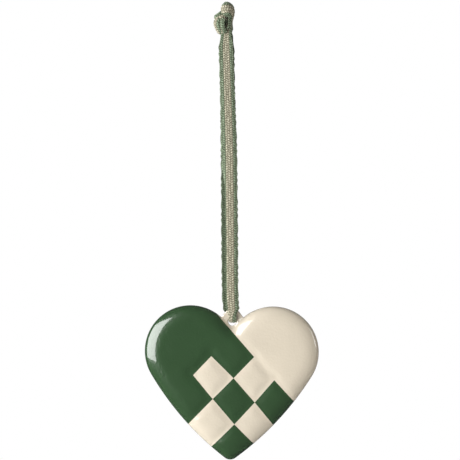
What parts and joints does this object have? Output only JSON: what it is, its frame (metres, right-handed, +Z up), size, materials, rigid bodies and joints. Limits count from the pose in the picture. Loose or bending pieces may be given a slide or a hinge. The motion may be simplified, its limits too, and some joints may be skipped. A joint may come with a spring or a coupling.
{
  "type": "metal heart ornament",
  "caption": "Puffed metal heart with a woven-square pattern in green and cream enamel, hung by its ear from a knotted loop of flat woven ribbon.",
  "frame": {"origin": "where a hook holds the loop, between the ribbon's two strands just under the knot", "axes": "+Z up along the hanging ribbon, +X across the heart to the right, -Y out of its front face"},
  "size_m": [0.08, 0.0092, 0.2104],
  "materials": {
    "heart_enamel": "gloss enamel on stamped metal, dark green with cream right half, ear and alternate squares",
    "ribbon_cotton": "matt woven cotton tape, sage green borders and a beige middle stripe"
  },
  "bodies": {
    "root": {"heart": "heart_enamel", "ribbon": "ribbon_cotton"}
  },
  "joints": []
}
